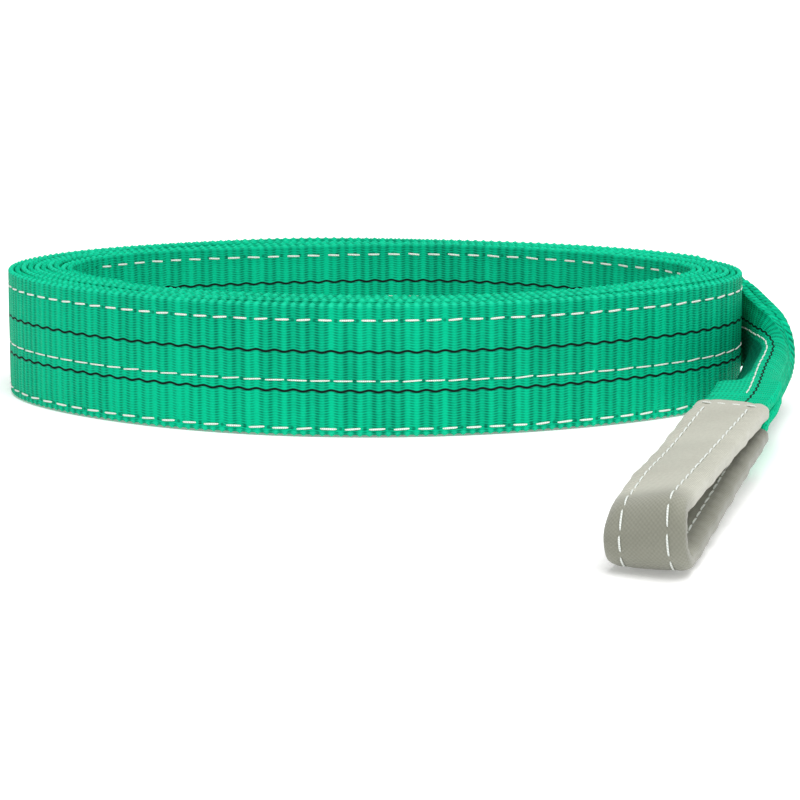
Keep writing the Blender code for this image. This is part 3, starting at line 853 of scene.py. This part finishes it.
def new_group(name, inputs, outputs):
    """Node group with named sockets; returns the group, its wiring, inputs and output."""
    group = bpy.data.node_groups.new(name, "ShaderNodeTree")
    for label, kind, value in inputs:
        socket = group.interface.new_socket(label, in_out="INPUT", socket_type=kind)
        socket.default_value = value
    for label, kind in outputs:
        group.interface.new_socket(label, in_out="OUTPUT", socket_type=kind)
    wiring = Wiring(group)
    return group, wiring, wiring.node("NodeGroupInput"), wiring.node("NodeGroupOutput")


def rib_weave_group():
    """Weave of the webbing: ribs across it, crossed by rows of short yarn floats.

    Light is 1 on a rib's crest and falls in the grooves, where the floats show as dashes:
    painted light on the crests and painted shade in the grooves, over the ribs' own bump.
    """
    group, w, given, out = new_group(
        "rib weave",
        [("Along", "NodeSocketFloat", 0.0), ("Across", "NodeSocketFloat", 0.0)],
        [("Light", "NodeSocketFloat"), ("Height", "NodeSocketFloat")])
    along, across = given.outputs["Along"], given.outputs["Across"]
    column = w.math("DIVIDE", along, RIB)
    crest = w.wave(along, RIB)
    slope = w.math("PINGPONG", column, 1.0)
    slid = w.math("MULTIPLY_ADD", slope, 0.7, across)
    pick = w.wave(slid, 1.18)
    # painted shade in the grooves between the ribs, in dashes where the floats lie
    groove = w.math("SUBTRACT", 1.0, crest)
    groove = w.math("MULTIPLY_ADD", groove, 1.7, -0.55, clamp=True)
    dash = w.math("MULTIPLY", groove, pick)
    light = w.math("MULTIPLY_ADD", dash, -0.58, 1.0)
    # painted light on each rib's crest
    soft = w.math("MULTIPLY_ADD", crest, 0.12, 0.86)
    fine = w.math("MULTIPLY_ADD", pick, -0.26, 1.10)
    light = w.math("MULTIPLY", w.math("MULTIPLY", light, soft), fine)
    high = w.math("MULTIPLY_ADD", dash, -0.55, w.math("MULTIPLY", crest, 0.7))
    high = w.math("MULTIPLY_ADD", pick, -0.35, high)
    w.put(light, out.inputs["Light"])
    w.put(high, out.inputs["Height"])
    return group


def black_yarn_group():
    """Marker yarn: a thin line at one height that waves once to every two ribs."""
    group, w, given, out = new_group(
        "marker yarn",
        [("Along", "NodeSocketFloat", 0.0), ("Across", "NodeSocketFloat", 0.0),
         ("Line", "NodeSocketFloat", 38.0)],
        [("Mask", "NodeSocketFloat")])
    along = given.outputs["Along"]
    wave = w.wave(along, 2.0 * RIB)
    middle = w.math("MULTIPLY_ADD", wave, 0.85, given.outputs["Line"])
    apart = w.math("SUBTRACT", given.outputs["Across"], middle)
    w.put(w.band(apart, 0.36, 0.74), out.inputs["Mask"])
    return group


def needle_hole_group():
    """Needle holes: small dark spots in a row, halfway between the stitches."""
    group, w, given, out = new_group(
        "needle holes",
        [("Along", "NodeSocketFloat", 0.0), ("Across", "NodeSocketFloat", 0.0),
         ("Row", "NodeSocketFloat", 0.0), ("Pitch", "NodeSocketFloat", 10.0)],
        [("Mask", "NodeSocketFloat")])
    pitch = given.outputs["Pitch"]
    place = w.math("DIVIDE", given.outputs["Along"], pitch)
    near = w.math("SUBTRACT", place, w.math("ROUND", place))
    near = w.math("MULTIPLY", near, pitch)
    side = w.math("SUBTRACT", given.outputs["Across"], given.outputs["Row"])
    far = w.math("SQRT", w.math("ADD", w.math("MULTIPLY", near, near),
                                w.math("MULTIPLY", side, side)))
    w.put(w.band(far, 0.45, 1.1), out.inputs["Mask"])
    return group


def plain_weave_group():
    """Plain weave of the sleeve: two sets of yarns, the product of their waves."""
    group, w, given, out = new_group(
        "plain weave",
        [("Along", "NodeSocketFloat", 0.0), ("Across", "NodeSocketFloat", 0.0),
         ("Yarn", "NodeSocketFloat", 1.0)],
        [("Light", "NodeSocketFloat")])
    yarn = given.outputs["Yarn"]
    x = w.math("DIVIDE", given.outputs["Along"], yarn)
    y = w.math("DIVIDE", given.outputs["Across"], yarn)
    one = w.math("SINE", w.math("MULTIPLY", x, math.pi))
    two = w.math("SINE", w.math("MULTIPLY", y, math.pi))
    w.put(w.math("MULTIPLY_ADD", w.math("MULTIPLY", one, two), 0.5, 0.5), out.inputs["Light"])
    return group


def start_material(name, rough, sheen, gloss=0.3):
    """Principled material with its fixed numbers set on the shader itself."""
    mat = bpy.data.materials.new(name)
    mat.use_nodes = True
    shader = mat.node_tree.nodes["Principled BSDF"]
    shader.inputs["Roughness"].default_value = rough
    shader.inputs["Sheen Weight"].default_value = sheen
    shader.inputs["Sheen Roughness"].default_value = 0.5
    shader.inputs["Specular IOR Level"].default_value = gloss
    w = Wiring(mat.node_tree)
    cloth = w.node("ShaderNodeUVMap", uv_map="Cloth")
    split = w.node("ShaderNodeSeparateXYZ")
    w.put(cloth.outputs["UV"], split.inputs[0])
    place = w.node("ShaderNodeTexCoord").outputs["Object"]
    return mat, shader, w, split.outputs[0], split.outputs[1], place


def use(w, group, **values):
    """Place a node group and set or join its inputs."""
    made = w.node("ShaderNodeGroup", node_tree=group)
    for key, value in values.items():
        w.put(value, made.inputs[key])
    return made


def add_bump(w, shader, height, strength, distance):
    """Bump node that feeds the shader's normal."""
    bump = w.node("ShaderNodeBump")
    bump.inputs["Strength"].default_value = strength
    bump.inputs["Distance"].default_value = distance
    w.put(height, bump.inputs["Height"])
    w.put(bump.outputs["Normal"], shader.inputs["Normal"])


def green_webbing():
    """Polyester webbing: green ribs with painted light on their crests and painted shade in the
    grooves and in broad bands, edge knots partly painted highlight, dark holes, two black yarns,
    painted shade under the tail's fold.
    """
    mat, shader, w, along, across, place = start_material("green_webbing", 0.6, 0.0, 0.05)
    weave = use(w, GROUPS["rib"], Along=along, Across=across)
    cloud = w.noise(place, 9.0, 2.0)
    slub = w.noise(place, 420.0, 2.0)
    light = w.math("MULTIPLY_ADD", slub, 0.24, -0.12)
    light = w.math("ADD", weave.outputs["Light"], light)
    tone = w.math("MULTIPLY_ADD", cloud, 0.9, -0.47)
    # painted light and shade: broad bands across the web, standing for its uneven relief
    painted_band_shade = w.math("MULTIPLY", w.wave(along, 17.3), w.wave(along, 11.9))
    tone = w.math("ADD", tone, w.math("MULTIPLY_ADD", painted_band_shade, 0.30, -0.09))
    light = w.math("ADD", light, tone, clamp=True)
    cloth = w.blend(light, (0.0, 0.10, 0.055, 1.0), (0.0, 0.53, 0.275, 1.0))
    # lighter green knots along both edges, one to each rib: partly the edge knots' own look,
    # partly painted highlight on each knot's crest
    edge = w.band(w.math("SUBTRACT", w.math("ABSOLUTE", w.math("SUBTRACT", across, 30.0)),
                         29.6), 0.6, 2.2)
    knots = w.math("MULTIPLY", edge, w.wave(along, RIB))
    cloth = w.blend(w.math("MULTIPLY", knots, 0.45), cloth, (0.02, 0.72, 0.42, 1.0))
    for row, (_, pitch, _) in zip(SEAM_Z, ROWS):
        holes = use(w, GROUPS["hole"], Along=along, Across=across, Row=row, Pitch=pitch)
        cloth = w.blend(w.math("MULTIPLY", holes.outputs["Mask"], 0.55), cloth,
                        (0.0, 0.05, 0.03, 1.0))
    height = weave.outputs["Height"]
    for line in YARN_Z:
        yarn = use(w, GROUPS["yarn"], Along=along, Across=across, Line=line)
        cloth = w.blend(yarn.outputs["Mask"], cloth, (0.004, 0.012, 0.010, 1.0))
        height = w.math("MULTIPLY_ADD", yarn.outputs["Mask"], 0.3, height)
    # painted shade on the tail's lower side under its fold, read from the point attribute
    painted_fold_shade = w.node("ShaderNodeAttribute", attribute_name="painted_fold_shade").outputs["Fac"]
    cloth = w.blend(w.math("MULTIPLY", painted_fold_shade, 0.82), cloth, (0.0, 0.055, 0.035, 1.0))
    w.put(cloth, shader.inputs["Base Color"])
    rough = w.math("MULTIPLY_ADD", light, -0.1, 0.7)
    w.put(rough, shader.inputs["Roughness"])
    add_bump(w, shader, height, 0.55, 0.0006)
    return mat


def sewing_thread():
    """Twisted white thread: fine slanting ridges, with painted shade in grey between them that a
    noise makes patchy.
    """
    mat, shader, w, along, across, place = start_material("sewing_thread", 0.55, 0.2)
    lay = w.math("ADD", along, w.math("MULTIPLY", across, 0.18))
    ridge = w.wave(lay, 0.9)
    patchy_groove_shade = w.noise(place, 60.0, 2.0)
    # painted shade: grey between the ridges of the twist, patchy by the noise
    fac = w.math("MULTIPLY", ridge, w.math("MULTIPLY_ADD", patchy_groove_shade, 0.5, 0.65), clamp=True)
    colour = w.blend(fac, (0.62, 0.68, 0.62, 1.0), (0.94, 0.95, 0.92, 1.0))
    w.put(colour, shader.inputs["Base Color"])
    add_bump(w, shader, ridge, 0.3, 0.0002)
    return mat


def sleeve_cloth():
    """Coarse warm grey sleeve cloth with browner stains, darker and a little browner at the nose,
    partly its wear and partly painted shade, with painted shade on the leg past the nose.
    """
    mat, shader, w, along, across, place = start_material("sleeve_cloth", 0.78, 0.25)
    weave = use(w, GROUPS["plain"], Along=along, Across=across, Yarn=0.85)
    cloud = w.noise(place, 26.0, 4.0)
    speck = w.noise(place, 700.0, 2.0)
    light = w.math("MULTIPLY_ADD", weave.outputs["Light"], 0.62, 0.12)
    light = w.math("MULTIPLY_ADD", speck, 0.35, light)
    light = w.math("MULTIPLY_ADD", cloud, 0.5, w.math("SUBTRACT", light, 0.28), clamp=True)
    colour = w.blend(light, (0.27, 0.27, 0.22, 1.0), (0.66, 0.66, 0.56, 1.0))
    stain = w.math("MULTIPLY_ADD", w.noise(place, 14.0, 5.0), 3.2, -1.75, clamp=True)
    colour = w.blend(w.math("MULTIPLY", stain, 0.35), colour, (0.24, 0.21, 0.15, 1.0))
    # darker round the nose: partly the nose's wear, partly painted shade
    nose_wear_and_shade = w.band(w.math("SUBTRACT", along, 205.0), 6.0, 34.0)
    colour = w.blend(w.math("MULTIPLY", nose_wear_and_shade, 0.85), colour, (0.19, 0.193, 0.150, 1.0))
    # painted shade on the leg after the nose, which on the outer eye lies under the top leg
    under = w.math("MULTIPLY_ADD", along, 0.05, -10.8, clamp=True)
    colour = w.blend(w.math("MULTIPLY", under, 0.75), colour, (0.17, 0.172, 0.137, 1.0))
    w.put(colour, shader.inputs["Base Color"])
    add_bump(w, shader, light, 0.5, 0.0004)
    return mat


def label_cloth():
    """Smooth blue coated label with a faint weave and a paler worn border."""
    mat, shader, w, along, across, place = start_material("label_cloth", 0.5, 0.05)
    weave = use(w, GROUPS["plain"], Along=along, Across=across, Yarn=0.6)
    worn = w.noise(place, 90.0, 4.0)
    border = w.math("SUBTRACT", 1.0, w.band(across, 14.5, 16.8))
    pale = w.math("MULTIPLY", border, worn)
    fac = w.math("MULTIPLY_ADD", weave.outputs["Light"], 0.25, w.math("MULTIPLY", worn, 0.3))
    colour = w.blend(fac, (0.012, 0.05, 0.22, 1.0), (0.03, 0.12, 0.42, 1.0))
    colour = w.blend(w.math("MULTIPLY", pale, 0.6), colour, (0.35, 0.42, 0.55, 1.0))
    w.put(colour, shader.inputs["Base Color"])
    add_bump(w, shader, weave.outputs["Light"], 0.25, 0.0002)
    return mat


def floor_paint():
    """Matt pale floor with the faintest unevenness."""
    mat, shader, w, along, across, place = start_material("pale_floor", 0.9, 0.0)
    shade = w.noise(place, 2.0, 2.0)
    w.put(w.blend(shade, (0.90, 0.90, 0.90, 1.0), (0.93, 0.93, 0.93, 1.0)),
          shader.inputs["Base Color"])
    shader.inputs["Emission Color"].default_value = (1.0, 1.0, 1.0, 1.0)
    shader.inputs["Emission Strength"].default_value = 0.25
    return mat


def dress(piece, finish):
    """Give a piece its material, in its one material slot."""
    piece.data.materials.clear()
    piece.data.materials.append(FINISHES[finish])


def finish_piece(piece, finish, body):
    """Material, slot and the body that the piece moves with."""
    dress(piece, finish)
    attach(piece, body)


def make_floor():
    """Wide flat floor just under the sling."""
    x = np.array([-9.0, 9.0, 9.0, -9.0])
    y = np.array([-6.0, -6.0, 18.0, 18.0])
    mesh = bpy.data.meshes.new("studio_floor")
    mesh.from_pydata(list(zip(x, y, np.full(4, -0.0003))), [], [(0, 1, 2, 3)])
    mesh.uv_layers.new(name="Cloth")
    floor = bpy.data.objects.new("studio_floor", mesh)
    bpy.context.scene.collection.objects.link(floor)
    mesh.materials.append(FINISHES["pale_floor"])


set_camera()
set_studio()
GROUPS = {"rib": rib_weave_group(), "yarn": black_yarn_group(),
          "hole": needle_hole_group(), "plain": plain_weave_group()}
FINISHES = {"green_webbing": green_webbing(), "sewing_thread": sewing_thread(),
            "sleeve_cloth": sleeve_cloth(), "label_cloth": label_cloth(),
            "pale_floor": floor_paint()}
make_floor()
for ply in make_coil():
    finish_piece(ply, "green_webbing", "coil")
stitch_coil()
make_tail()
make_neck()
make_eye("outer", outer_eye_frames(), 14.0, 14.0, "outer_eye", 40)
make_eye("inner", inner_eye_frames(), 12.0, 12.0, "inner_eye", 60)
make_label()
